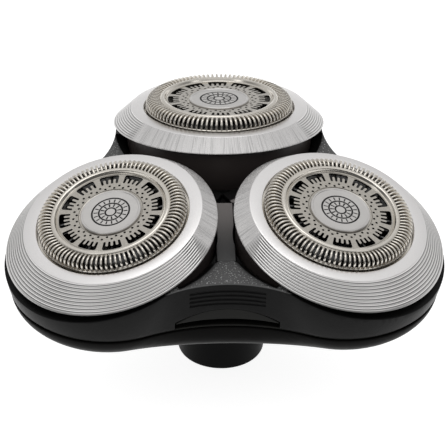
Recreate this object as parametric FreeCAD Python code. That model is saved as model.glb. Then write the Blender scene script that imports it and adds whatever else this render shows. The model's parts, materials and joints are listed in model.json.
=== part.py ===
import FreeCAD, Part
import math
import os

V = FreeCAD.Vector
os.makedirs("parts", exist_ok=True)

# Three-head rotary shaving unit. Millimetres. The origin is the centre of the coupling stem's
# lower end, +Z runs up the drive axis and +Y points at the rear head.

# ---- driving dimensions: the three heads ----
HEADS = {"left": 210.0, "right": 330.0, "rear": 90.0}
HEAD_RADIUS = 20.5          # drive axis to the middle of a head's face
HEAD_HEIGHT = 33.0          # height of that middle
HEAD_TILT = 14.5            # each face leans outwards by this angle
UP = V(0, 0, 1)

# ---- gears ----
GEAR_MODULE = 0.5
SUN_TEETH = 33
PLANET_TEETH = 44
PRESSURE_ANGLE = math.radians(20)
BACKLASH = 0.12
GEAR_CENTRES = GEAR_MODULE * (SUN_TEETH + PLANET_TEETH) / 2
GEAR_BOTTOM = 17.4
GEAR_WIDTH = 2.2
GEAR_TOP = GEAR_BOTTOM + GEAR_WIDTH

# A head tilts about the tangential line through the point where its axis meets its spindle.
PIVOT_DEPTH = (HEAD_RADIUS - GEAR_CENTRES) / math.sin(math.radians(HEAD_TILT))
PIVOT_HEIGHT = HEAD_HEIGHT - PIVOT_DEPTH * math.cos(math.radians(HEAD_TILT))

# ---- body outline: (lobe centre radius, lobe radius, saddle reach, height) ----
FRAME_LEVELS = [(21.56, 15.4, 22.3, 20.9), (21.56, 16.3, 22.4, 24.5), (21.5, 16.9, 22.4, 29.2)]
SHELL_LEVELS = [(21.0, 10.5, 19.3, 15.2), (21.4, 13.0, 21.4, 16.8), (21.56, 14.5, 22.1, 18.4),
                (21.56, 15.3, 22.25, 20.4)]
SHELL_TOP = SHELL_LEVELS[-1][3]
TRAY_OUTLINE = (21.56, 13.8, 20.7)
TAB_OUTLINE = (21.56, 15.9, 22.1)
FRAME_WALL = 1.3
SHELL_WALL = 1.4
RIM_DEPTH = 1.5             # thickness of the frame's sloping top around the heads
RIM_HEIGHT = 29.4           # height of the sloping rim plane above the pivot line
RIM_SLOPE = 17.7
WEB_BOTTOM = 26.0
WEB_TOP = 28.2
RIB_TOP = 29.0              # three raised ribs cross the web from near the middle to the pads
RIB_START = 0.84
RIB_END = 16.4
RIB_HALF_WIDTH = 1.45
PAD_START = 16.7            # a flat pad stands at each saddle, outside circles round the heads
PAD_CLEAR_R = 17.1
NOTCH_WIDTH = 16.4
NOTCH_SIDE = 22.3           # top of the notch at its ends and in the middle
NOTCH_TOP = 24.1
TAB_BOTTOM = 21.95
TAB_GAP = 0.15
GRIP_HALF_WIDTH = 5.9
GRIP_LEVELS = (25.1, 25.9, 26.7, 27.5)
GRIP_HEIGHT = 0.35
GRIP_DEPTH = 0.15

# ---- stem and shell ----
STEM_R = 7.0
STEM_NECK_R = 7.4           # where the stem passes through the shell's floor
STEM_BORE_R = 4.8
STEM_FLANGE_R = 12.8
FLOOR_BOTTOM = 15.2
FLOOR_STEP = 16.0
FLANGE_TOP = 16.9
FLOOR_TOP = 16.6
TRAY_FLOOR_TOP = 21.6
TRAY_WALL_TOP = 22.9
SCREW_R = 0.8
SCREW_HEAD_R = 1.5
TRAY_SCREW_RADIUS = 17.0
STEM_SCREW_RADIUS = 11.0

# ---- shaft and spindles ----
SHAFT_R = 2.5
RUN = 0.06                  # radial running clearance
SOCKET_ACROSS = 6.0
PIN_R = 1.0
HUB_R = 2.6
POST_R = 2.0
POST_BOTTOM = 21.9
POST_TOP = 23.65
AXLE_TOP = 20.6
SPINDLE_ACROSS = 2.4
SPINDLE_BOTTOM = 22.4
SPINDLE_FLANGE_BOTTOM = 25.0
SPRING_R = 2.4
SPRING_WIRE_R = 0.2
TIP_R = 1.75
TIP_ACROSS = 3.1

# ---- head, in its own frame: origin mid-face, X outwards, Z along the head's axis ----
SKIRT_R = 15.1
SKIRT_WALL = 1.0
OPENING_R = 15.45
BEZEL_BORE_R = 12.35
BEZEL_CREASE_R = 14.4
BEZEL_EDGE_R = 17.25
BEZEL_EDGE_SHIFT = 1.0
BEZEL_EDGE_DROP = 3.0
BEZEL_EDGE_LEAN = 2.2
BEZEL_WALL = 0.8
GUARD_R = 12.0
GUARD_WALL = 0.5
GUARD_SLOTS = 46
GUARD_WINDOWS = 12
CAP_R = 4.84
CAP_PLUG_R = 4.3
TILT_PIN_R = 0.7
DECK_TOP = -2.9
DECK_BOTTOM = -3.9
LOCK_BOTTOM = -5.7


def disc(radius, low, high, centre=(0, 0)):
    return Part.makeCylinder(radius, high - low, V(centre[0], centre[1], low))


def ring(outer, inner, low, high, centre=(0, 0)):
    return disc(outer, low, high, centre).cut(disc(inner, low - 1, high + 1, centre))


def revolved(outline):
    """Turns a closed outline of (radius, height) points about Z."""
    points = [V(r, 0, z) for r, z in outline]
    face = Part.Face(Part.makePolygon(points + points[:1]))
    return face.revolve(V(0, 0, 0), UP, 360)


def hexagon(across, low, high):
    corner = across / math.sqrt(3)
    angles = [math.radians(60 * i + 30) for i in range(7)]
    wire = Part.makePolygon([V(corner * math.cos(a), corner * math.sin(a), low) for a in angles])
    return Part.Face(wire).extrude(V(0, 0, high - low))


def sector(outer, inner, low, high, middle, width):
    """Part of a ring, width degrees wide about the angle middle."""
    face = Part.makeCylinder(outer, high - low, V(0, 0, low), UP, width)
    face.rotate(V(0, 0, 0), UP, middle - width / 2)
    return face.cut(disc(inner, low - 1, high + 1))


def turned(shape, angle):
    copy = shape.copy()
    copy.rotate(V(0, 0, 0), UP, angle)
    return copy


def all_round(shape, count, start=0.0):
    return [turned(shape, start + 360.0 * i / count) for i in range(count)]


def over_gear(shape, name):
    """Moves a shape made on the Z axis to the vertical axis below a head."""
    copy = shape.copy()
    copy.translate(V(GEAR_CENTRES, 0, 0))
    return turned(copy, HEADS[name])


def on_head(shape, name):
    """Moves a shape from the head's own frame to its place on the unit."""
    copy = shape.copy()
    copy.rotate(V(0, 0, 0), V(0, 1, 0), HEAD_TILT)
    copy.translate(V(HEAD_RADIUS, 0, HEAD_HEIGHT))
    return turned(copy, HEADS[name])


def save(name, shape):
    solids = [s for s in shape.Solids if s.Volume > 1e-3]
    result = solids[0] if len(solids) == 1 else Part.makeCompound(solids)
    if not result.isValid():
        print("not valid:", name)
    result.exportStep("parts/%s.step" % name)
    print("%-24s %9.2f mm3, %d solid" % (name, result.Volume, len(solids)))


def trefoil(lobe_centre, lobe_r, reach, height, inset=0.0):
    """Closed outline of three round lobes joined by three hollow saddle arcs."""
    lobe_r = lobe_r - inset
    side = lobe_centre * math.sin(math.radians(60))
    depth = reach - inset - lobe_centre * math.cos(math.radians(60))
    saddle_r = (side ** 2 + depth ** 2 - lobe_r ** 2) / (2 * (lobe_r - depth))

    def polar(radius, angle):
        a = math.radians(angle)
        return V(radius * math.cos(a), radius * math.sin(a), height)

    def tangent_point(lobe_angle, saddle_angle):
        lobe = polar(lobe_centre, lobe_angle)
        towards = polar(reach - inset + saddle_r, saddle_angle) - lobe
        return lobe + towards.normalize() * lobe_r

    edges = []
    for angle in (90, 210, 330):
        before = tangent_point(angle, angle - 60)
        after = tangent_point(angle, angle + 60)
        following = tangent_point(angle + 120, angle + 60)
        edges.append(Part.Arc(before, polar(lobe_centre + lobe_r, angle), after).toShape())
        edges.append(Part.Arc(after, polar(reach - inset, angle + 60), following).toShape())
    return Part.Wire(edges)


def loft(levels, inset=0.0, bottom=None):
    """Smooth solid through the outlines; bottom moves its lowest outline down or up."""
    wires = [trefoil(c, r, reach, z, inset) for c, r, reach, z in levels]
    if bottom is not None:
        wires[0].translate(V(0, 0, bottom - levels[0][3]))
    return Part.makeLoft(wires, True, False)


def slab(outline, low, high, inset=0.0):
    """Straight-sided trefoil slab."""
    face = Part.Face(trefoil(outline[0], outline[1], outline[2], low, inset))
    return face.extrude(V(0, 0, high - low))


def above_rim(depth):
    """The three spaces above the sloping rim planes, lowered by depth."""
    spaces = []
    for angle in HEADS.values():
        box = Part.makeBox(60, 90, 30, V(-20, -45, 0))
        box.rotate(V(0, 0, 0), V(0, 1, 0), RIM_SLOPE)
        drop = depth / math.cos(math.radians(RIM_SLOPE))
        box.translate(V(GEAR_CENTRES, 0, RIM_HEIGHT - drop))
        spaces.append(turned(box, angle))
    return spaces


def arched_block(gap, low):
    """Radial block with an arched top that fills the wall's notch at one saddle, less a gap."""
    reach, half = 18.5, NOTCH_WIDTH / 2 - gap
    foot, shoulder = V(reach, half, low), V(reach, half, NOTCH_SIDE - gap)
    far_foot, far_shoulder = V(reach, -half, low), V(reach, -half, NOTCH_SIDE - gap)
    arch = Part.Arc(shoulder, V(reach, 0, NOTCH_TOP - gap), far_shoulder)
    sides = [Part.LineSegment(foot, shoulder), arch, Part.LineSegment(far_shoulder, far_foot),
             Part.LineSegment(far_foot, foot)]
    return Part.Face(Part.Wire([side.toShape() for side in sides])).extrude(V(8, 0, 0))


# ================= fixed base =================

def lower_shell():
    body = loft(SHELL_LEVELS)
    levels = SHELL_LEVELS[1:-1] + [SHELL_LEVELS[-1][:3] + (SHELL_TOP + 0.2,)]
    hollow = loft(levels, SHELL_WALL).cut(disc(60, 0, FLOOR_TOP))
    axle_boss = disc(2.4, FLOOR_TOP - 0.5, GEAR_BOTTOM - 0.2, (GEAR_CENTRES, 0))
    screw_boss = disc(2.1, FLOOR_TOP - 0.5, SHELL_TOP, (TRAY_SCREW_RADIUS, 0))
    body = body.cut(hollow).multiFuse(all_round(axle_boss, 3, 90) + all_round(screw_boss, 3, 30))
    cuts = [disc(STEM_NECK_R, 0, 30), disc(STEM_FLANGE_R, FLOOR_STEP, GEAR_BOTTOM), gear_case_gasket()]
    cuts += all_round(disc(PIN_R, FLOOR_STEP, 30, (GEAR_CENTRES, 0)), 3, 90)
    cuts += all_round(disc(SCREW_R, FLOOR_TOP, 30, (TRAY_SCREW_RADIUS, 0)), 3, 30)
    cuts += all_round(disc(SCREW_R, FLOOR_BOTTOM + 0.2, 30, (STEM_SCREW_RADIUS, 0)), 3, 30)
    return body.cut(Part.makeCompound(cuts))


def gear_case_gasket():
    outline = SHELL_LEVELS[-1]
    return slab(outline, SHELL_TOP - 0.3, SHELL_TOP, 0.5).cut(
        slab(outline, SHELL_TOP - 1, SHELL_TOP + 1, 1.1))


def coupling_stem():
    body = disc(STEM_R, 0, FLANGE_TOP).multiFuse(
        [disc(STEM_NECK_R, FLOOR_BOTTOM, FLANGE_TOP), disc(STEM_FLANGE_R, FLOOR_STEP, FLANGE_TOP)])
    cuts = [disc(STEM_BORE_R, -1, 15.5), disc(4.2, 15, 20)]
    cuts += all_round(disc(SCREW_R, 15, 20, (STEM_SCREW_RADIUS, 0)), 3, 30)
    return body.cut(Part.makeCompound(cuts))


def screws(radius, bottom, seat):
    shank = disc(SCREW_R, bottom, seat, (radius, 0))
    head = disc(SCREW_HEAD_R, seat, seat + 0.9, (radius, 0))
    slot = Part.makeBox(4, 0.4, 1, V(radius - 2, -0.2, seat + 0.55))
    return Part.makeCompound(all_round(shank.fuse(head).cut(slot), 3, 30))


def shaft_bush():
    return ring(STEM_BORE_R, SHAFT_R + RUN, 10.0, 15.5)


def chamber_tray():
    flange = slab(SHELL_LEVELS[-1], SHELL_TOP, SHELL_TOP + 0.4, 0.3)
    wall = slab(TRAY_OUTLINE, SHELL_TOP, TRAY_WALL_TOP)
    pan = slab(TRAY_OUTLINE, TRAY_FLOOR_TOP, TRAY_WALL_TOP + 1, 1.0)
    lip = slab(SHELL_LEVELS[-1], SHELL_TOP - 1.2, SHELL_TOP, 2.0)
    lip = lip.cut(slab(SHELL_LEVELS[-1], SHELL_TOP - 2, SHELL_TOP, 2.9))
    body = wall.cut(Part.makeCompound(above_rim(2.0))).cut(pan)
    tab_skin = slab(TAB_OUTLINE, TAB_BOTTOM, NOTCH_TOP).cut(slab(TRAY_OUTLINE, SHELL_TOP, 30, 0.5))
    tabs = [tab_skin.common(block) for block in all_round(arched_block(TAB_GAP, TAB_BOTTOM), 3, 30)]
    body = body.multiFuse([flange, lip, disc(3.2, SHELL_TOP, 22.4)] + tabs)
    cuts = [disc(1.5 + RUN, 20, 21.8)]
    cuts += all_round(disc(3.6, 20, 23, (GEAR_CENTRES, 0)), 3, 90)
    cuts += all_round(disc(SCREW_R, 20, 23, (TRAY_SCREW_RADIUS, 0)), 3, 30)
    return body.cut(Part.makeCompound(cuts))


def axle_pin():
    return disc(PIN_R, FLOOR_STEP, AXLE_TOP)


def spindle_seal():
    return ring(3.6, HUB_R + RUN, 20.6, 21.4)


# ================= drive train =================

def involute_gear(teeth, phase, low, high):
    """Spur gear; phase is the angle of the middle of one tooth, in degrees."""
    pitch_r = GEAR_MODULE * teeth / 2
    base_r = pitch_r * math.cos(PRESSURE_ANGLE)
    tip_r = pitch_r + 0.9 * GEAR_MODULE
    root_r = pitch_r - 1.3 * GEAR_MODULE

    def half_angle(radius):
        inclination = math.acos(min(1.0, base_r / radius))
        at_pitch = math.pi / (2 * teeth) - BACKLASH / (4 * pitch_r)
        involute = math.tan(PRESSURE_ANGLE) - PRESSURE_ANGLE
        return at_pitch + involute - (math.tan(inclination) - inclination)

    flank = [root_r] + [max(base_r, root_r) + (tip_r - max(base_r, root_r)) * i / 4 for i in range(1, 5)]
    points = []
    for tooth in range(teeth):
        middle = math.radians(phase) + 2 * math.pi * tooth / teeth
        rising = [(r, middle - half_angle(r)) for r in flank]
        falling = [(r, middle + half_angle(r)) for r in reversed(flank)]
        points += [V(r * math.cos(a), r * math.sin(a), low) for r, a in rising + falling]
    face = Part.Face(Part.makePolygon(points + points[:1]))
    return face.extrude(V(0, 0, high - low))


def planet_phase(name):
    """Tooth angle that puts a gap of the planet gear over the sun gear's nearest tooth."""
    sun_pitch = 360.0 / SUN_TEETH
    angle = HEADS[name]
    offset = round(angle / sun_pitch) * sun_pitch - angle
    return angle + 180 - offset * SUN_TEETH / PLANET_TEETH - 180.0 / PLANET_TEETH


def sun_gear():
    gear = involute_gear(SUN_TEETH, 0.0, GEAR_BOTTOM, GEAR_TOP)
    holes = all_round(disc(1.1, GEAR_BOTTOM - 1, GEAR_TOP + 1, (5.0, 0)), 6)
    return gear.cut(Part.makeCompound(holes + [disc(SHAFT_R, 0, 30)]))


def drive_shaft():
    body = disc(4.4, 1.0, 9.0).multiFuse([disc(SHAFT_R, 8, 20), disc(1.5, 19, 21.4)])
    return body.cut(hexagon(SOCKET_ACROSS, 0, 7.0))


def shaft_clip():
    clip = ring(3.6, SHAFT_R, 15.9, 16.5)
    return clip.cut(Part.makeBox(5, 2.4, 2, V(0, -1.2, 15.5)))


def drive_gear(name):
    """Planet gear whose hub goes up through the tray and ends in the spindle's guide post."""
    phase = planet_phase(name) - HEADS[name]
    body = involute_gear(PLANET_TEETH, phase, GEAR_BOTTOM, GEAR_TOP)
    body = body.cut(ring(9.6, 4.2, GEAR_TOP - 0.6, GEAR_TOP + 1))
    holes = all_round(disc(1.5, 0, 30, (6.9, 0)), 6)
    body = body.cut(Part.makeCompound(holes))
    body = body.multiFuse([disc(HUB_R, GEAR_TOP - 1, POST_BOTTOM), disc(POST_R, 21, POST_TOP)])
    bores = [disc(PIN_R + RUN, 0, AXLE_TOP + 0.2), hexagon(SPINDLE_ACROSS + 2 * RUN, AXLE_TOP + 0.45, 30)]
    return body.cut(Part.makeCompound(bores))


def drive_spindle():
    """Sliding hexagonal spindle with a flange for the spring and a ball-hexagon tip."""
    tip = Part.makeSphere(TIP_R, V(0, 0, PIVOT_HEIGHT))
    tip = tip.common(hexagon(TIP_ACROSS, PIVOT_HEIGHT - 3, PIVOT_HEIGHT + 3))
    shank = hexagon(SPINDLE_ACROSS, SPINDLE_BOTTOM, SPINDLE_FLANGE_BOTTOM + 0.3)
    flange = disc(2.9, SPINDLE_FLANGE_BOTTOM, SPINDLE_FLANGE_BOTTOM + 0.6)
    neck = disc(0.95, SPINDLE_FLANGE_BOTTOM + 0.3, PIVOT_HEIGHT)
    return tip.multiFuse([shank, flange, neck])


def spindle_spring():
    """Four turns of wire, whose section is drawn with eight flats."""
    height = SPINDLE_FLANGE_BOTTOM - POST_BOTTOM - 2 * SPRING_WIRE_R
    path = Part.Wire(Part.makeHelix(height / 4, height, SPRING_R))
    corners = [math.radians(22.5 + 45 * i) for i in range(9)]
    section = Part.makePolygon([V(SPRING_R + SPRING_WIRE_R * math.cos(a), 0, SPRING_WIRE_R * math.sin(a))
                                for a in corners])
    coil = path.makePipeShell([section], True, True)
    coil.translate(V(0, 0, POST_BOTTOM + SPRING_WIRE_R))
    return coil


# ================= holder =================

def holder_frame():
    outside = loft(FRAME_LEVELS).cut(Part.makeCompound(above_rim(0)))
    hollow_levels = [FRAME_LEVELS[0], FRAME_LEVELS[1], (21.54, 16.5, 22.4, WEB_BOTTOM)]
    hollow = loft(hollow_levels, FRAME_WALL, 20.0).cut(Part.makeCompound(above_rim(RIM_DEPTH)))
    sunk = [disc(PAD_START, WEB_TOP, 40)] + all_round(head_recess(), 3, 90)
    body = outside.cut(hollow).cut(Part.makeCompound(sunk)).multiFuse(all_round(web_rib(), 3, 30))
    sphere = Part.makeSphere(OPENING_R, V(GEAR_CENTRES, 0, PIVOT_HEIGHT))
    cuts = all_round(sphere, 3, 90) + all_round(pin_line(TILT_PIN_R, 16.6), 3, 90)
    cuts += all_round(arched_block(0, 20.0), 3, 30) + all_round(finger_grip(), 3, 30)
    return body.cut(Part.makeCompound(cuts))


def pin_line(radius, reach):
    """Cylinder along a head's hinge line, as long as reach to both sides."""
    return Part.makeCylinder(radius, 2 * reach, V(GEAR_CENTRES, -reach, PIVOT_HEIGHT), V(0, 1, 0))


def head_recess():
    """Conical space round a head that leaves the pads' sides and the bosses of the hinge pins."""
    rise = FRAME_LEVELS[-1][3] - WEB_TOP
    slope = (PAD_CLEAR_R - OPENING_R) / rise
    cone = Part.makeCone(OPENING_R, PAD_CLEAR_R + slope, rise + 1, V(GEAR_CENTRES, 0, WEB_TOP), UP)
    return cone.cut(pin_line(TILT_PIN_R + 0.5, 20))


def web_rib():
    """Raised rib of the web with drafted sides."""
    foot = RIB_HALF_WIDTH + 0.3
    section = [V(RIB_START, -foot, WEB_TOP - 0.5), V(RIB_START, foot, WEB_TOP - 0.5),
               V(RIB_START, RIB_HALF_WIDTH, RIB_TOP), V(RIB_START, -RIB_HALF_WIDTH, RIB_TOP)]
    return Part.Face(Part.makePolygon(section + section[:1])).extrude(V(RIB_END - RIB_START, 0, 0))


def finger_grip():
    """Shallow grooves in the wall above a notch."""
    bars = [Part.makeBox(8, 2 * GRIP_HALF_WIDTH, GRIP_HEIGHT, V(19, -GRIP_HALF_WIDTH, level))
            for level in GRIP_LEVELS]
    return Part.makeCompound(bars).cut(turned(loft(FRAME_LEVELS, GRIP_DEPTH), -30))


def tilt_pins():
    """The two hinge pins of one head, in place above the X axis."""
    pin = Part.makeCylinder(TILT_PIN_R, 2.55, V(GEAR_CENTRES, 14.05, PIVOT_HEIGHT), V(0, 1, 0))
    return Part.makeCompound([pin, pin.mirror(V(0, 0, 0), V(0, 1, 0))])


def head_carrier():
    pivot = V(0, 0, -PIVOT_DEPTH)
    skirt = Part.makeSphere(SKIRT_R, pivot).cut(Part.makeSphere(SKIRT_R - SKIRT_WALL, pivot))
    below = Part.makeBox(60, 60, 30, V(-30, -30, -30))
    below.rotate(V(0, 0, 0), V(0, 1, 0), -7.3)
    below.translate(V(0, 0, -7.9))
    skirt = skirt.cut(Part.makeCompound([disc(40, DECK_TOP, 30), below]))
    deck = ring(14.6, 12.9, DECK_BOTTOM, DECK_TOP)
    collar = ring(13.8, 12.9, DECK_BOTTOM, -BEZEL_WALL)
    hooks = all_round(sector(14.5, 13.2, -6.5, -5.8, 0, 20), 3, 60)
    body = skirt.multiFuse([deck, collar] + hooks)
    hole = Part.makeCylinder(TILT_PIN_R + RUN, 40, V(0, -20, -PIVOT_DEPTH), V(0, 1, 0))
    return body.cut(hole)


def bezel_edge(radius, drop):
    """Edge circle of the bezel: pushed outwards and leaning a little further than the face."""
    circle = Part.Wire(Part.makeCircle(radius))
    circle.rotate(V(0, 0, 0), V(0, 1, 0), BEZEL_EDGE_LEAN)
    circle.translate(V(BEZEL_EDGE_SHIFT, 0, -drop))
    return circle


def bezel():
    face = Part.Wire(Part.makeCircle(BEZEL_CREASE_R))
    underside = Part.Wire(Part.makeCircle(BEZEL_CREASE_R - 0.55, V(0, 0, -BEZEL_WALL)))
    outer = Part.makeLoft([face, bezel_edge(BEZEL_EDGE_R - 0.12, BEZEL_EDGE_DROP - 0.3),
                           bezel_edge(BEZEL_EDGE_R, BEZEL_EDGE_DROP)], True, True)
    inner = Part.makeLoft([underside, bezel_edge(BEZEL_EDGE_R - 0.6, BEZEL_EDGE_DROP),
                           bezel_edge(BEZEL_EDGE_R - 0.6, BEZEL_EDGE_DROP + 2)], True, True)
    return outer.cut(inner).cut(disc(BEZEL_BORE_R, -9, 9))


# ================= shaving parts, in the head's own frame =================

def retaining_ring():
    """Bayonet ring below the guard: three lugs, three spokes and a middle ring."""
    body = ring(13.0, 11.4, LOCK_BOTTOM, -4.1)
    parts = [ring(12.5, 11.6, -4.3, -3.1), ring(5.4, 4.2, LOCK_BOTTOM, -4.9)]
    parts += all_round(sector(13.7, 12.5, LOCK_BOTTOM, -4.9, 0, 16), 3, 60)
    parts += all_round(Part.makeBox(7.0, 1.6, 0.8, V(4.9, -0.8, LOCK_BOTTOM)), 3, 0)
    return body.multiFuse(parts)


def guard():
    """Slotted steel cap: rounded slot track, bead, window track and a hole for the middle cap."""
    outside = [(12.6, -1.7), (12.6, -0.95), (GUARD_R, -0.95), (GUARD_R, 0.7), (11.75, 1.35),
               (11.2, 1.8), (10.7, 1.88), (9.6, 1.6), (9.4, 1.75), (8.9, 1.75), (8.7, 1.3)]
    inside = [(CAP_PLUG_R, 1.3), (CAP_PLUG_R, 0.8), (8.9, 0.8), (9.2, 1.1), (9.7, 1.1),
              (10.9, 1.35), (GUARD_R - GUARD_WALL, 0.9), (GUARD_R - GUARD_WALL, -1.7)]
    slot = Part.makeBox(3, 0.6, 3, V(9.75, -0.3, 0.3))
    window = sector(8.4, 6.6, 0, 3, 15, 22)
    tools = all_round(slot, GUARD_SLOTS) + all_round(window, GUARD_WINDOWS)
    return revolved(outside + inside).cut(Part.makeCompound(tools))


def guard_cap():
    body = disc(CAP_R, 1.3, 1.5).fuse(disc(CAP_PLUG_R, 0.8, 1.4))
    return body.cut(ring(4.45, 4.2, 1.42, 2))


def blade(inner, outer, top):
    plate = Part.makeBox(outer - inner, 0.3, top + 0.6, V(inner, -0.15, -0.6))
    plate.rotate(V((inner + outer) / 2, 0, 0), UP, 12)
    return plate


def cutter():
    plate = ring(11.2, 2.2, -0.9, -0.4)
    gaps = Part.makeCompound(all_round(sector(9.2, 4.2, -2, 0, 15, 12), 12))
    blades = all_round(blade(9.85, 11.1, 0.95), 24) + all_round(blade(6.8, 8.3, 0.6), 12)
    return plate.cut(gaps).multiFuse(blades)


def cutter_hub():
    body = disc(3.4, -PIVOT_DEPTH - 1.2, -0.9).fuse(disc(2.2, -1, -0.2))
    return body.cut(hexagon(TIP_ACROSS + 1.0, -PIVOT_DEPTH - 3, -PIVOT_DEPTH + TIP_R + RUN))


save("lower_shell", lower_shell())
save("gear_case_gasket", gear_case_gasket())
save("coupling_stem", coupling_stem())
save("stem_screws", screws(STEM_SCREW_RADIUS, FLOOR_BOTTOM + 0.2, FLANGE_TOP))
save("tray_screws", screws(TRAY_SCREW_RADIUS, FLOOR_TOP, TRAY_FLOOR_TOP))
save("shaft_bush", shaft_bush())
save("chamber_tray", chamber_tray())
save("sun_gear", sun_gear())
save("drive_shaft", drive_shaft())
save("shaft_clip", shaft_clip())
save("holder_frame", holder_frame())

below_head = {"axle_pin": axle_pin(), "spindle_seal": spindle_seal(),
              "drive_spindle": drive_spindle(), "spindle_spring": spindle_spring()}
head_parts = {"head_carrier": head_carrier(), "bezel": bezel(), "retaining_ring": retaining_ring(),
              "guard": guard(), "guard_cap": guard_cap(), "cutter": cutter(),
              "cutter_hub": cutter_hub()}

for head_name, head_angle in HEADS.items():
    save("tilt_pins_" + head_name, turned(tilt_pins(), head_angle))
    save("drive_gear_" + head_name, over_gear(drive_gear(head_name), head_name))
    for part_name, part_shape in below_head.items():
        save(part_name + "_" + head_name, over_gear(part_shape, head_name))
    for part_name, part_shape in head_parts.items():
        save(part_name + "_" + head_name, on_head(part_shape, head_name))
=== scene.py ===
import json
import math

import bmesh
import bpy
from mathutils import Matrix, Vector


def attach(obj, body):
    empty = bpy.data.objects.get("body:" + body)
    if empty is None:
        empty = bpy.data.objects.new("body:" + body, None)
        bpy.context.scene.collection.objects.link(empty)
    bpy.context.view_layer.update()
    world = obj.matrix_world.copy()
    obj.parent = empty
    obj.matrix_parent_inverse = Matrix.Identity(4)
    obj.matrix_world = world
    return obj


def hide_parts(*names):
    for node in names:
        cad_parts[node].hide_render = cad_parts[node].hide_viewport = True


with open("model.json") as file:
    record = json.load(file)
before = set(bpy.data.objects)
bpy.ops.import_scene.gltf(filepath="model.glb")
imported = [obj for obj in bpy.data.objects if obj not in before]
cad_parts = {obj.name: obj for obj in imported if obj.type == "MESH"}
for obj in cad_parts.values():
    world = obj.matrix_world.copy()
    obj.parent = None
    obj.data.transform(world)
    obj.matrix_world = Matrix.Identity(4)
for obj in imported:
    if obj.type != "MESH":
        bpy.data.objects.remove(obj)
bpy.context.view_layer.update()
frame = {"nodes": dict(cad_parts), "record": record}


# ---- camera ----
# A long lens looks down at the three faces from in front, a little to the left of the middle. The
# point that it turns about lies above the middle of its view.
MM = 0.001
azimuth, elevation, roll = (math.radians(angle) for angle in (-2.51, 35.51, 0.93))
aim = Vector((0, 0, 33)) * MM
distance = 600 * MM
view_width = 71.38 * MM
aim_right, aim_up = -0.11 * MM, 7.13 * MM

back = Vector((math.sin(azimuth) * math.cos(elevation),
               -math.cos(azimuth) * math.cos(elevation), math.sin(elevation)))
level = Vector((math.cos(azimuth), math.sin(azimuth), 0))
right = math.cos(roll) * level + math.sin(roll) * back.cross(level)
eye = aim + distance * back
back = (distance * back + aim_right * right + aim_up * back.cross(right)).normalized()
right = (right - right.dot(back) * back).normalized()

camera_data = bpy.data.cameras.new("camera")
camera_data.lens = camera_data.sensor_width * distance / view_width
camera_data.clip_start = 0.01
camera_data.clip_end = 10
camera = bpy.data.objects.new("camera", camera_data)
turn = Matrix((right, back.cross(right), back)).transposed().to_4x4()
camera.matrix_world = Matrix.Translation(eye) @ turn
bpy.context.scene.collection.objects.link(camera)
bpy.context.scene.camera = camera
bpy.context.scene.view_settings.view_transform = "Standard"


# ---- soft studio light ----
# A white tent that is bright overhead and behind and darker low down in front, where the sloping
# edges look, and three soft boxes for the highlights.
class Value:
    """A node socket in an expression: its operators add Math nodes."""

    def __init__(self, finish, socket):
        self.finish = finish
        self.socket = socket

    def math(self, operation, *others):
        return self.finish.math(operation, self, *others)

    def __add__(self, other):
        return self.math("ADD", other)

    def __sub__(self, other):
        return self.math("SUBTRACT", other)

    def __rsub__(self, other):
        return self.finish.math("SUBTRACT", other, self)

    def __mul__(self, other):
        return self.math("MULTIPLY", other)

    def __truediv__(self, other):
        return self.math("DIVIDE", other)

    __radd__ = __add__
    __rmul__ = __mul__


class Finish:
    """The nodes of a material, or of the studio's light, and the one method that adds them."""

    def __init__(self, owner):
        self.owner = owner
        owner.use_nodes = True
        self.tree = owner.node_tree
        self.tree.nodes.clear()

    def node(self, kind, settings, sockets, output=0):
        """Adds a node: its settings come first, then values or links for its sockets."""
        made = self.tree.nodes.new(kind)
        for key, value in settings.items():
            setattr(made, key, value)
        for key, value in sockets.items():
            if isinstance(value, Value):
                self.tree.links.new(value.socket, made.inputs[key])
            else:
                made.inputs[key].default_value = value
        return Value(self, made.outputs[output]) if made.outputs else None

    def math(self, operation, *values):
        return self.node("ShaderNodeMath", {"operation": operation}, dict(enumerate(values)))

    def parts(self, vector):
        """The three numbers of a vector."""
        first = self.node("ShaderNodeSeparateXYZ", {}, {"Vector": vector})
        return [Value(self, socket) for socket in first.socket.node.outputs]

    def place(self, centre=(0, 0, 0), turn=(0, 0, 0)):
        """Object coordinates in millimetres, from a centre and turned as a part is."""
        spot = self.node("ShaderNodeTexCoord", {}, {}, "Object")
        return self.node("ShaderNodeMapping", {"vector_type": "TEXTURE"},
                         {"Vector": spot, "Location": centre, "Rotation": turn,
                          "Scale": (MM, MM, MM)})

    def noise(self, spot, scale, detail=3.0, roughness=0.5):
        return self.node("ShaderNodeTexNoise", {}, {"Vector": spot, "Scale": scale,
                                                    "Detail": detail, "Roughness": roughness})

    def mix(self, factor, low, high):
        """A blend of two colours, which a Mix node takes at sockets 6 and 7 and gives at 2."""
        return self.node("ShaderNodeMix", {"data_type": "RGBA"}, {0: factor, 6: low, 7: high}, 2)

    def step(self, value, low, high):
        """0 below low, 1 above high and smooth between them."""
        return self.node("ShaderNodeMapRange", {"interpolation_type": "SMOOTHSTEP"},
                         {"Value": value, "From Min": low, "From Max": high})

    def bump(self, height, depth_mm):
        return self.node("ShaderNodeBump", {}, {"Height": height, "Strength": 1.0,
                                                "Distance": depth_mm * MM})

    def surface(self, **sockets):
        """The shader itself; a socket's spaces are written as underscores."""
        named = {key.replace("_", " "): value for key, value in sockets.items()}
        shader = self.node("ShaderNodeBsdfPrincipled", {}, named)
        self.node("ShaderNodeOutputMaterial", {}, {"Surface": shader})
        return self.owner


def grey(value):
    return value, value, value, 1


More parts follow.
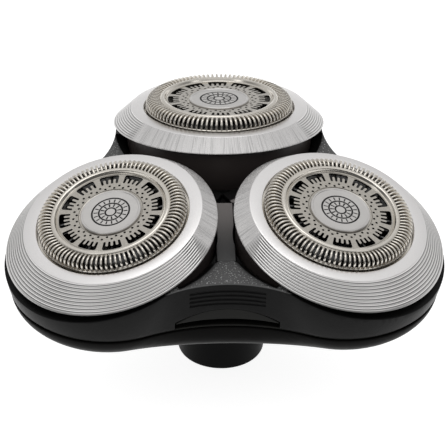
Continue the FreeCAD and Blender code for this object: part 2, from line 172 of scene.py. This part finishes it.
front_light, back_light, top_light = grey(0.12), grey(0.74), grey(0.98)
tent = Finish(bpy.data.worlds.new("studio"))
bpy.context.scene.world = tent.owner
_, behind, above = tent.parts(tent.node("ShaderNodeTexCoord", {}, {}, "Generated"))
low_light = tent.mix(tent.step(behind, -0.3, 0.5), front_light, back_light)
tent_light = tent.mix(tent.step(above, 0.4, 1.0), low_light, top_light)
tent_glow = tent.node("ShaderNodeBackground", {}, {"Color": tent_light, "Strength": 1.0})
tent.node("ShaderNodeOutputWorld", {}, {"Surface": tent_glow})


def soft_box(name, place, size, power):
    """An area light that looks at the unit's middle: metres for place and size, and watts."""
    data = bpy.data.lights.new(name, "AREA")
    data.shape = "RECTANGLE"
    data.size, data.size_y = size
    data.energy = power
    lamp = bpy.data.objects.new(name, data)
    place = Vector(place)
    facing = (place - aim).to_track_quat("Z", "Y").to_matrix().to_4x4()
    lamp.matrix_world = Matrix.Translation(place) @ facing
    bpy.context.scene.collection.objects.link(lamp)


soft_box("soft_box_above", place=(0.0, 0.25, 0.8), size=(0.5, 0.3), power=0.62)
soft_box("soft_box_left", place=(-0.55, -0.35, 0.55), size=(0.2, 0.35), power=0.28)
soft_box("soft_box_right", place=(0.6, -0.3, 0.5), size=(0.2, 0.35), power=0.22)


# ---- floor ----
# A lit white acrylic table top that the coupling stem stands on. It isn't part of the object.
def new_material(name):
    return Finish(bpy.data.materials.new(name))


def new_piece(name, mesh, material=None):
    """Makes an object of a finished bmesh, or of a mesh, and puts it in the scene."""
    if isinstance(mesh, bmesh.types.BMesh):
        data = bpy.data.meshes.new(name)
        mesh.to_mesh(data)
        mesh.free()
        mesh = data
    piece = bpy.data.objects.new(name, mesh)
    bpy.context.scene.collection.objects.link(piece)
    if material:
        mesh.materials.clear()
        mesh.materials.append(material)
    return piece


table_acrylic = new_material("table_acrylic")
table_cloud = table_acrylic.noise(table_acrylic.place(), 0.02)
table_tone = table_acrylic.mix(table_cloud, grey(0.40), grey(0.42))
table_acrylic.surface(Base_Color=table_tone, Roughness=0.8, Specular_IOR_Level=0.1,
                      Emission_Color=grey(1.0), Emission_Strength=0.90)
table = bmesh.new()
bmesh.ops.create_grid(table, x_segments=1, y_segments=1, size=6)
new_piece("table", table, table_acrylic.owner)


# ---- plastics and metals of the inner parts ----
# Moulded plastics differ in gloss and have a faint moulding grain; turned and pressed metal parts
# have fine directional marks. Each helper makes one family of finish.
HEADS = {"left": 210, "right": 330, "rear": 90}  # where each head lies, in degrees from +X
CLOUD_SCALE = 0.12  # slow changes over a moulded face, about one in 8 mm


def moulded(name, colour, roughness, grain_mm, grain_depth, specular=0.5, tone=0.15):
    """Injection-moulded plastic: an even colour, slow changes in gloss and a fine grain."""
    finish = new_material(name)
    spot = finish.place()
    cloud = finish.noise(spot, CLOUD_SCALE, 2.0)
    grain = finish.noise(spot, 1 / grain_mm, 2.0)
    dark, light = (tuple(c * share for c in colour) + (1,) for share in (1 - tone, 1 + tone))
    return finish.surface(Base_Color=finish.mix(cloud, dark, light),
                          Roughness=roughness + (cloud - 0.5) * 0.12 + (grain - 0.5) * 0.08,
                          Normal=finish.bump(grain, grain_depth), Specular_IOR_Level=specular)


def worked_metal(name, colour, roughness, marks=(1, 1, 12), depth=0.004):
    """Metal with fine marks: marks gives how much the noise is squeezed along each axis."""
    finish = new_material(name)
    spot = finish.place()
    squeezed = finish.node("ShaderNodeVectorMath", {"operation": "MULTIPLY"}, {0: spot, 1: marks})
    lines = finish.noise(squeezed, 1.2, 4.0, 0.65)
    cloud = finish.noise(spot, 0.3, 3.0)
    dark = tuple(c * 0.86 for c in colour) + (1,)
    return finish.surface(Base_Color=finish.mix(cloud, dark, colour + (1,)), Metallic=1.0,
                          Roughness=roughness + (lines - 0.5) * 0.18,
                          Normal=finish.bump(lines, depth))


def sided(kind):
    """The three like nodes of the three heads."""
    return [kind + "_" + side for side in HEADS]


def shaded(mesh, sharp_angle):
    """Shades a mesh smooth between its edges over an angle in degrees, and gives it back."""
    mesh.shade_smooth()
    mesh.set_sharp_from_angle(angle=math.radians(sharp_angle))
    return mesh


def dress(material, *nodes):
    """Puts one material on carried-over nodes."""
    for name in nodes:
        data = frame["nodes"][name].data
        data.materials.clear()
        data.materials.append(material)
        shaded(data, 32)


dress(moulded("natural_acetal", (0.74, 0.72, 0.66), roughness=0.38, grain_mm=0.6,
              grain_depth=0.004, tone=0.05), "sun_gear", *sided("drive_gear"))
dress(moulded("spindle_acetal", (0.62, 0.62, 0.60), roughness=0.35, grain_mm=0.5,
              grain_depth=0.003, tone=0.06), *sided("drive_spindle"), *sided("cutter_hub"))
dress(moulded("retaining_plastic", (0.04, 0.042, 0.045), roughness=0.42, grain_mm=0.35,
              grain_depth=0.006), *sided("retaining_ring"))
dress(moulded("seal_rubber", (0.012, 0.012, 0.012), roughness=0.75, grain_mm=0.25,
              grain_depth=0.010, specular=0.3), "gear_case_gasket", *sided("spindle_seal"))
dress(worked_metal("plated_steel", (0.62, 0.63, 0.64), roughness=0.30, marks=(1, 1, 8)),
      "drive_shaft", "stem_screws", "tray_screws", *sided("axle_pin"), *sided("tilt_pins"))
dress(worked_metal("spring_steel", (0.45, 0.45, 0.46), roughness=0.34, marks=(6, 6, 6)),
      "shaft_clip", *sided("spindle_spring"))
dress(worked_metal("bush_bronze", (0.72, 0.48, 0.20), roughness=0.40, marks=(2, 2, 2),
                   depth=0.008), "shaft_bush")
# The cutters get a near-black steel as painted shade: it stands in for the shadow inside each
# head, seen through the guard's slots.
dress(worked_metal("cutter_steel", (0.10, 0.10, 0.10), roughness=0.30, marks=(4, 4, 4)),
      *sided("cutter"))


# ---- lower shell, stem and tray ----
# The glossy black gear case below the seam, the round stem screwed into it, and the matt tray
# whose three tabs show in the holder's notches. All are injection-moulded with softened edges.
same_point, shortest_edge = 2e-6, 1e-6
flat_angle, corner_angle, straight_down = math.radians(0.05), math.radians(30), -0.999


def softened(node, name, width, material):
    """A copy of a node with merged seams and rounded outer edges, which stands for the node."""
    shape = bmesh.new()
    shape.from_mesh(frame["nodes"][node].data)
    bmesh.ops.remove_doubles(shape, verts=shape.verts, dist=same_point)
    # Flat faces are joined, but not those that look straight down: joined, the holder's
    # underside covered the openings for its heads.
    joins = [e for e in shape.edges
             if all(face.normal.z > straight_down for face in e.link_faces)]
    bmesh.ops.dissolve_limit(shape, angle_limit=flat_angle, verts=[], edges=joins)
    corners = [e for e in shape.edges if e.is_manifold and e.is_convex
               and e.calc_face_angle() > corner_angle]
    bmesh.ops.bevel(shape, geom=corners, offset=width * MM, offset_type="OFFSET", segments=2,
                    profile=0.5, affect="EDGES", material=-1, clamp_overlap=False)
    bmesh.ops.dissolve_degenerate(shape, dist=shortest_edge, edges=shape.edges)
    piece = new_piece(name, shape, material)
    shaded(piece.data, 40)
    weighted = piece.modifiers.new("even_shading", "WEIGHTED_NORMAL")
    weighted.keep_sharp = True
    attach(piece, next(body for body, nodes
                        in frame["record"]["behaviour"]["bodies"].items() if node in nodes))
    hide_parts(node)
    return piece


shell_plastic = moulded("shell_plastic", (0.0055, 0.0053, 0.0051), roughness=0.34,
                        grain_mm=0.5, grain_depth=0.002, specular=0.02)
stem_plastic = moulded("stem_plastic", (0.0030, 0.0030, 0.0032), roughness=0.42,
                       grain_mm=0.3, grain_depth=0.006, specular=0.05)
tray_plastic = moulded("tray_plastic", (0.0110, 0.0110, 0.0100), roughness=0.40,
                       grain_mm=0.3, grain_depth=0.006, specular=0.1)
softened("lower_shell", "shell_moulding", 0.2, shell_plastic)
softened("coupling_stem", "stem_moulding", 0.25, stem_plastic)
softened("chamber_tray", "tray_moulding", 0.12, tray_plastic)


# ---- holder frame ----
# The satin black plastic trefoil that carries the heads and pulls off the base in one piece. Its
# raised ribs have a finer satin with painted light on them, paler near the middle, while the two
# rear ribs are left dark near the middle as painted shade; the flat pads at the three saddles are
# paler, with a coarse spark-eroded texture and pale flecks painted in as glints.
rib_level, pad_level, pad_reach = (28.80, 28.95), (29.08, 29.16), (16.4, 16.6)
frame_finish = new_material("frame_plastic")
frame_spot = frame_finish.place()
frame_x, frame_y, frame_height = frame_finish.parts(frame_spot)
frame_cloud = frame_finish.noise(frame_spot, CLOUD_SCALE, 2.0)
frame_grain = frame_finish.noise(frame_spot, 4.0, 2.0)
frame_reach = (frame_x * frame_x + frame_y * frame_y).math("SQRT")
on_rib = frame_finish.step(frame_height, *rib_level)
# Painted light: the rib tops are painted lighter, except the two rear ribs near the middle, which
# are left dark as painted shade.
rib_painted_light_mask = on_rib * frame_finish.step(frame_reach - frame_y * 1.6, 1.3, 1.9)
on_pad = (frame_finish.step(frame_height, *pad_level)
          * frame_finish.step(frame_reach, *pad_reach))
sparks = frame_finish.noise(frame_spot, 3.6, 2.0, 0.6)
# Painted glints: pale flecks on the pads stand in for the sparkle of the spark-eroded texture,
# which they also roughen as bump.
pad_painted_glints = frame_finish.step(sparks, 0.58, 0.68) * on_pad
frame_tone = frame_finish.mix(frame_cloud, grey(0.0045), grey(0.0060))
# The painted light on the ribs is paler near the middle and fades outward.
outward = frame_finish.step(frame_reach, 4.0, 15.0)
rib_painted_light_tone = frame_finish.mix(outward, (0.23, 0.214, 0.208, 1), grey(0.11))
frame_tone = frame_finish.mix(rib_painted_light_mask, frame_tone, rib_painted_light_tone)
frame_tone = frame_finish.mix(on_pad, frame_tone, grey(0.11))
frame_tone = frame_finish.mix(pad_painted_glints, frame_tone, grey(0.55))
frame_finish.surface(Base_Color=frame_tone, Specular_IOR_Level=0.08,
                     Roughness=0.36 + on_rib * 0.14 + (frame_grain - 0.5) * 0.1,
                     Normal=frame_finish.bump(frame_grain + pad_painted_glints * 2.0, 0.02))
softened("holder_frame", "holder_moulding", 0.14, frame_finish.owner)


# ---- head carriers ----
# The skirted plastic cups that hold guard and cutter, each tilting in the frame on two pins. They
# are moulded smooth and slightly brown against the frame.
carrier_plastic = moulded("carrier_plastic", (0.046, 0.038, 0.036), roughness=0.40,
                          grain_mm=0.35, grain_depth=0.004, specular=0.2)
for side in HEADS:
    softened("head_carrier_" + side, "skirt_" + side, 0.12, carrier_plastic)


# ---- bezels ----
# A spun and anodised ring round each cap: a flat satin face, a crisp crease, and a slope with
# nine fine turned ridges, which stop short on the side that faces the other two heads.
HEAD_CENTRE = Vector((20.5, 0, 33)) * MM
HEAD_TILT = math.radians(14.5)


def on_head(side):
    """The transform from a head's own frame, in metres, to its place."""
    return (Matrix.Rotation(math.radians(HEADS[side]), 4, "Z") @ Matrix.Translation(HEAD_CENTRE)
            @ Matrix.Rotation(HEAD_TILT, 4, "Y"))


def placed(mesh, side, sharp_angle):
    """A shaded copy of a mesh that was made in a head's own frame, moved to its place."""
    data = mesh.copy()
    data.transform(on_head(side))
    return shaded(data, sharp_angle)


def spun(outline, segments):
    """A closed ring: an outline of (radius, height) points in millimetres, turned about Z."""
    ring = bmesh.new()
    verts = [ring.verts.new((r * MM, 0, h * MM)) for r, h in outline]
    edges = [ring.edges.new((a, b)) for a, b in zip(verts, verts[1:] + verts[:1])]
    bmesh.ops.spin(ring, geom=verts + edges, cent=(0, 0, 0), axis=(0, 0, 1),
                   angle=2 * math.pi, steps=segments, use_merge=True)
    bmesh.ops.recalc_face_normals(ring, faces=ring.faces)
    return ring


bezel_bore, bezel_crease, bezel_edge = 12.35, 14.4, 17.25
edge_shift, edge_drop, edge_lean = 1.0, 3.0, math.radians(2.2)
ridge_count, ridge_depth, ridge_squareness = 9, 0.10, 0.7
ridge_end, ridge_end_taper, ridge_fade = 122, 5, 2.5  # degrees each way from straight outward
lean_start = bezel_crease - 0.7
slope_points = ridge_count * 6
slope_share = [i / slope_points for i in range(slope_points + 1)]

outline = [(bezel_bore + 0.06, 0.0), (bezel_bore, -0.06), (bezel_bore, -0.74),
           (bezel_bore + 0.06, -0.8), (bezel_crease - 0.55, -0.8),
           (bezel_edge - 0.6, -edge_drop), (bezel_edge - 0.12, -edge_drop - 0.05),
           (bezel_edge, -edge_drop + 0.06)]
top_of_slope = (bezel_crease, -0.03)
foot_of_slope = (bezel_edge - 0.1, -edge_drop + 0.24)
for share in reversed(slope_share):
    outline.append(tuple(a + (b - a) * share for a, b in zip(top_of_slope, foot_of_slope)))
outline.append((bezel_crease - 0.1, 0.0))

# The ridges are pushed into the slope's points, and then the slope is leant and moved outward.
bezel_shape = spun(outline, 288)
slope_normal = Vector((edge_drop, bezel_edge - bezel_crease)).normalized()
for vert in bezel_shape.verts:
    radius = math.hypot(vert.co.x, vert.co.y) / MM
    height = vert.co.z / MM
    angle = math.degrees(math.atan2(vert.co.y, vert.co.x))
    share = (radius - top_of_slope[0]) / (foot_of_slope[0] - top_of_slope[0])
    slope_height = share * (foot_of_slope[1] - top_of_slope[1])
    on_top = abs(height - top_of_slope[1] - slope_height) < 0.01
    if on_top and 0 < share < 1:
        limit = ridge_end - ridge_end_taper * share
        fade = min(1, max(0, (limit - abs(angle)) / ridge_fade))
        wave = math.cos(2 * math.pi * share * ridge_count)
        push = fade * ridge_depth * (math.copysign(abs(wave) ** ridge_squareness, wave) - 1) / 2
        out = radius + push * slope_normal.x
        vert.co.xy *= out / radius
        vert.co.z += push * slope_normal.y * MM
    fall = min(1, max(0, -height / edge_drop))
    if radius > lean_start:
        vert.co.z -= fall * vert.co.x * math.sin(edge_lean)
        vert.co.x += fall * edge_shift * MM

bezel_mesh = bpy.data.meshes.new("bezel")
bezel_shape.to_mesh(bezel_mesh)
bezel_shape.free()


def bezel_silver(side):
    """Satin silver; the inward part of the slope has fine radial brush marks."""
    finish = new_material("bezel_silver_" + side)
    turn = on_head(side)
    spot = finish.place(turn.translation, turn.to_euler())
    x, y, height = finish.parts(spot)
    turned = y.math("ARCTAN2", x)
    fallen = height / (x * -math.sin(edge_lean) - edge_drop)
    x = x - fallen * edge_shift
    radius = (x * x + y * y).math("SQRT")
    slope = finish.step(radius, bezel_crease - 0.05, bezel_crease + 0.1)
    inward = finish.step(turned.math("ABSOLUTE"), math.radians(118), math.radians(123))

    run, drop = foot_of_slope[0] - top_of_slope[0], top_of_slope[1] - foot_of_slope[1]
    down = (radius - top_of_slope[0]) * run + (fallen * edge_drop + top_of_slope[1]) * drop
    wave = (down * (2 * math.pi * ridge_count / (run * run + drop * drop))).math("COSINE")
    # Painted shade in the valleys between the turned ridges, on the part of the slope that is not
    # brushed.
    ridge_painted_shade = finish.step(wave * -1.0, 0.1, 0.9) * slope * (1.0 - inward)

    streaks_round, streaks_out = 105, 0.15
    streak_spot = finish.node("ShaderNodeCombineXYZ", {}, {"X": turned * streaks_round,
                                                           "Y": radius * streaks_out})
    streaks = finish.noise(streak_spot, 1.0, 3.0, 0.6)
    speck = finish.noise(spot, 5.0, 3.0, 0.6)
    brushed = inward * slope
    scored = finish.step(streaks, 0.48, 0.66) * brushed
    face_tone = finish.mix(speck, (0.70, 0.685, 0.68, 1), (0.80, 0.785, 0.78, 1))
    # Painted shade: the slope is given a darker silver than the face, less so on its brushed
    # inward part.
    slope_painted_shade_tone = finish.mix(speck, (0.56, 0.55, 0.545, 1), (0.66, 0.65, 0.64, 1))
    tone = finish.mix(slope * (1.0 - inward * 0.6), face_tone, slope_painted_shade_tone)
    tone = finish.mix(scored * 0.5, tone, grey(0.25))
    tone = finish.mix(ridge_painted_shade * 0.8, tone, grey(0.12))
    bumps = (streaks - 0.5) * brushed * 2.0 + (speck - 0.5) * 0.25
    return finish.surface(Base_Color=tone, Metallic=1.0, Normal=finish.bump(bumps, 0.03),
                          Roughness=0.30 + (speck - 0.5) * 0.12 + (streaks - 0.5) * brushed * 0.2)


for side in HEADS:
    piece = new_piece("turned_bezel_" + side, placed(bezel_mesh, side, 40), bezel_silver(side))
    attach(piece, "head_" + side)
    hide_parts("bezel_" + side)


# ---- guards ----
# The steel cap that the cutter turns under: thin bent ribs over the outer track, a rolled bead,
# a flat inner track with comb-edged windows and small round holes, all formed in one piece.
rib_count, rib_width, rib_middle = 92, 0.36, 10.8
rib_top = [(11.98, 0.0), (11.98, 0.62), (11.88, 1.04), (11.64, 1.42), (11.26, 1.70),
           (10.8, 1.84), (10.3, 1.82), (9.8, 1.68), (9.4, 1.52)]
rib_under = [(9.4, 1.1), (10.0, 1.28), (10.7, 1.36), (11.2, 1.2), (11.52, 0.8), (11.52, 0.0)]


def pushed_out(shape, faces, offset):
    """Extrudes faces of a shape by an offset in metres, and gives back what that adds."""
    added = bmesh.ops.extrude_face_region(shape, geom=faces)["geom"]
    bmesh.ops.translate(shape, vec=offset,
                        verts=[item for item in added if isinstance(item, bmesh.types.BMVert)])
    return added


def drawn_plate(outline, half_width):
    """A flat plate: an outline of (radius, height) points in millimetres, drawn out along Y."""
    plate = bmesh.new()
    verts = [plate.verts.new((r * MM, -half_width * MM, h * MM)) for r, h in outline]
    pushed_out(plate, [plate.faces.new(verts)], (0, 2 * half_width * MM, 0))
    bmesh.ops.recalc_face_normals(plate, faces=plate.faces)
    return plate


def repeated(shape, count):
    """Adds turned copies about Z, so that there are count in all."""
    bmesh.ops.spin(shape, geom=shape.verts[:] + shape.edges[:] + shape.faces[:], cent=(0, 0, 0),
                   axis=(0, 0, 1), angle=2 * math.pi * (count - 1) / count, steps=count - 1,
                   use_duplicate=True)
    return shape


rib = drawn_plate(rib_top + rib_under, rib_width / 2)
rib_line = [Vector((r * MM, h * MM)) for r, h in rib_top]


def on_rib_top(vert):
    """Whether a corner of the plate lies on the outline's upper side."""
    return any((Vector((vert.co.x, vert.co.z)) - point).length < 1e-6 for point in rib_line)


crown = [e for e in rib.edges if abs(e.verts[0].co.y - e.verts[1].co.y) < 1e-7
         and on_rib_top(e.verts[0]) and on_rib_top(e.verts[1])]
bmesh.ops.bevel(rib, geom=crown, offset=0.13 * MM, offset_type="OFFSET", segments=2,
                profile=0.5, affect="EDGES", material=-1, clamp_overlap=True)
# A rib's width grows with its distance from the axis.
for vert in rib.verts:
    vert.co.y *= vert.co.x / (rib_middle * MM)
repeated(rib, rib_count)

wall_outline = [(12.0, 0.12), (11.9, 0.2), (11.55, 0.2), (11.5, 0.1), (11.5, -1.7), (12.55, -1.7),
                (12.6, -1.65), (12.6, -1.0), (12.55, -0.95), (12.0, -0.95)]
wall = spun(wall_outline, 184)

track_outline = [(9.72, 1.10), (9.72, 1.52), (9.62, 1.68), (9.45, 1.79), (9.2, 1.83), (8.98, 1.76),
                 (8.86, 1.6), (8.80, 1.42), (8.72, 1.34), (8.64, 1.36), (8.57, 1.42), (8.50, 1.38),
                 (8.44, 1.30), (6.9, 1.30), (5.22, 1.30), (5.14, 1.20), (5.0, 1.16), (4.86, 1.16),
                 (4.86, 1.0), (8.6, 1.0), (9.3, 0.8)]
track = spun(track_outline, 240)

# The tool for a window: an arc with rounded corners, and four round-ended slots towards the
# middle that leave three round-tipped teeth.
window_count, window_half, tooth_count = 12, math.radians(11.4), 3
window_outer, tooth_tip, slot_end, corner_round = 8.36, 7.56, 6.55, 0.34
tool_foot, tool_height = 0.5, 1.1
slot_half = window_half / (2 * tooth_count + 1)
arc_steps, corner_steps, edge_steps = 6, 3, 10


def window_point(turned, radius):
    return radius * math.cos(turned), radius * math.sin(turned), tool_foot


def half_round(middle_turn, end_radius, outward):
    """Points round the end of a slot or the tip of a tooth, one slot's half width across."""
    reach = 0.5 * (tooth_tip + slot_end) * slot_half
    centre = end_radius - outward * reach
    return [window_point(middle_turn - math.cos(a) * slot_half,
                         centre + outward * math.sin(a) * reach)
            for a in (math.pi * step / arc_steps for step in range(arc_steps + 1))]


outline = []
for i in range(2 * tooth_count + 1):
    middle_turn = (2 * i - 2 * tooth_count) * slot_half
    tip_radius, outward = (tooth_tip, 1) if i % 2 else (slot_end, -1)
    outline += half_round(middle_turn, tip_radius, outward)
corner_turn = corner_round / window_outer
corner = []
for i in range(corner_steps + 1):
    a = math.pi / 2 * i / corner_steps
    corner.append((window_half - corner_turn * (1 - math.cos(a)),
                   window_outer - corner_round * (1 - math.sin(a))))
outline += [window_point(turned, radius) for turned, radius in corner]
outline += [window_point((window_half - corner_turn) * (1 - 2 * i / edge_steps), window_outer)
            for i in range(1, edge_steps)]
outline += [window_point(-turned, radius) for turned, radius in reversed(corner)]
window = bmesh.new()
mouth = window.faces.new([window.verts.new(Vector(point) * MM) for point in outline])
pushed_out(window, [mouth], (0, 0, tool_height * MM))
bmesh.ops.recalc_face_normals(window, faces=window.faces)
repeated(window, window_count)

# The punches for two rings of round holes; a ring is its radius and the turn of its first hole.
hole_rings, holes_per_ring, hole_radius = ((6.0, 0), (5.5, 7.5)), 24, 0.21
holes = bmesh.new()
for ring_radius, ring_start in hole_rings:
    hole = bmesh.ops.create_cone(holes, cap_ends=True, segments=10, radius1=hole_radius * MM,
                                 radius2=hole_radius * MM, depth=1.2 * MM)["verts"]
    bmesh.ops.translate(holes, vec=(ring_radius * MM, 0, 1.1 * MM), verts=hole)
    bmesh.ops.rotate(holes, cent=(0, 0, 0), verts=hole,
                     matrix=Matrix.Rotation(math.radians(ring_start), 3, "Z"))
repeated(holes, holes_per_ring)


def pierced(shape, *tools):
    """Cuts closed tools out of a shape and gives back a mesh."""
    blank = new_piece("blank", shape)
    made = [new_piece("punch", tool) for tool in tools]
    for punch in made:
        cut = blank.modifiers.new("cut", "BOOLEAN")
        cut.operation = "DIFFERENCE"
        cut.solver = "EXACT"
        cut.object = punch
    ready = blank.evaluated_get(bpy.context.evaluated_depsgraph_get())
    mesh = bpy.data.meshes.new_from_object(ready)
    for spare in [blank] + made:
        bpy.data.objects.remove(spare)
    return mesh


guard_shape = bmesh.new()
guard_shape.from_mesh(pierced(track, window, holes))
for part in (wall, rib):
    joined = bpy.data.meshes.new("joined")
    part.to_mesh(joined)
    part.free()
    guard_shape.from_mesh(joined)
guard_mesh = bpy.data.meshes.new("guard")
guard_shape.to_mesh(guard_mesh)
guard_shape.free()


def guard_nickel(side):
    """Bright formed steel with a slight warm tint and fine drawing marks round its axis."""
    finish = new_material("guard_nickel_" + side)
    turn = on_head(side)
    spot = finish.place(turn.translation, turn.to_euler())
    x, y, _ = finish.parts(spot)
    radius = (x * x + y * y).math("SQRT")
    marks = finish.noise(finish.node("ShaderNodeCombineXYZ", {}, {"X": radius * 9}), 1.0, 2.0)
    speck = finish.noise(spot, 3.0, 3.0, 0.6)
    tone = finish.mix(speck, (0.54, 0.505, 0.45, 1), (0.68, 0.65, 0.60, 1))
    # Painted shade: the flat inner track, sunk inside the bead, is given a darker steel than the
    # ribs and bead.
    track_painted_shade_tone = finish.mix(speck, (0.30, 0.28, 0.25, 1), (0.58, 0.55, 0.50, 1))
    tone = finish.mix(finish.step(radius, 8.3, 8.7), track_painted_shade_tone, tone)
    return finish.surface(Base_Color=tone, Metallic=1.0, Roughness=0.20 + (speck - 0.5) * 0.14,
                          Normal=finish.bump(marks * 0.3 + speck * 0.2, 0.02))


for side in HEADS:
    piece = new_piece("formed_guard_" + side, placed(guard_mesh, side, 35), guard_nickel(side))
    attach(piece, "guard_set_" + side)
    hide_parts("guard_" + side)


# ---- guard caps ----
# The brushed disc pressed into the middle of each guard. A plain dial is etched into it and
# blackened: three rings with short radial bars between them.
cap_top, dial_depth, ring_edge = 1.42, 0.05, 0.03
dial_rings = [(0.72, 1.0), (1.76, 2.04), (2.86, 3.16)]
dial_bars = [(1.06, 1.70, 30, 10), (2.10, 2.74, 20, 5)]  # radii, then pitch and width in degrees
above_step = 1.3
outline = [(0, cap_top)]
for inner, outer in dial_rings:
    outline += [(inner, cap_top), (inner + ring_edge, cap_top - dial_depth),
                (outer - ring_edge, cap_top - dial_depth), (outer, cap_top)]
    outline += [(outer + 0.05, cap_top), (outer + 0.71, cap_top)] if outer < 3 else []
outline += [(4.42, cap_top), (4.54, 1.50), (4.72, 1.50), (4.84, 1.40), (4.84, 1.17),
            (4.3, 1.17), (4.3, 0.8), (0, 0.8)]
cap = bmesh.new()
cap_verts = [cap.verts.new((r * MM, 0, h * MM)) for r, h in outline]
cap_edges = [cap.edges.new(pair) for pair in zip(cap_verts, cap_verts[1:])]
bmesh.ops.spin(cap, geom=cap_verts + cap_edges, cent=(0, 0, 0), axis=(0, 0, 1),
               angle=2 * math.pi, steps=144, use_merge=True)
bmesh.ops.remove_doubles(cap, verts=cap.verts, dist=1e-7)
bmesh.ops.recalc_face_normals(cap, faces=cap.faces)
bars = []
for face in cap.faces:
    middle = face.calc_center_median() / MM
    radius = math.hypot(middle.x, middle.y)
    turned = math.degrees(math.atan2(middle.y, middle.x))
    if middle.z > above_step and any(low < radius < high and turned % pitch < width
                                     for low, high, pitch, width in dial_bars):
        bars.append(face)
    if above_step < middle.z < cap_top - 0.004 and radius < 3.2:
        face.material_index = 1
for item in pushed_out(cap, bars, (0, 0, -dial_depth * MM)):
    if isinstance(item, bmesh.types.BMFace):
        item.material_index = 1
bmesh.ops.delete(cap, geom=[face for face in bars if face.is_valid], context="FACES_ONLY")
cap_mesh = bpy.data.meshes.new("cap")
cap.to_mesh(cap_mesh)
cap.free()

etched = moulded("etched_black", (0.02, 0.02, 0.02), roughness=0.6, grain_mm=0.2,
                 grain_depth=0.01, specular=0.2)
cap_steel = worked_metal("cap_steel", (0.58, 0.565, 0.55), roughness=0.34, marks=(2, 10, 2))
for side in HEADS:
    data = placed(cap_mesh, side, 30)
    data.materials.append(cap_steel)
    data.materials.append(etched)
    piece = new_piece("etched_cap_" + side, data)
    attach(piece, "guard_set_" + side)
    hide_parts("guard_cap_" + side)
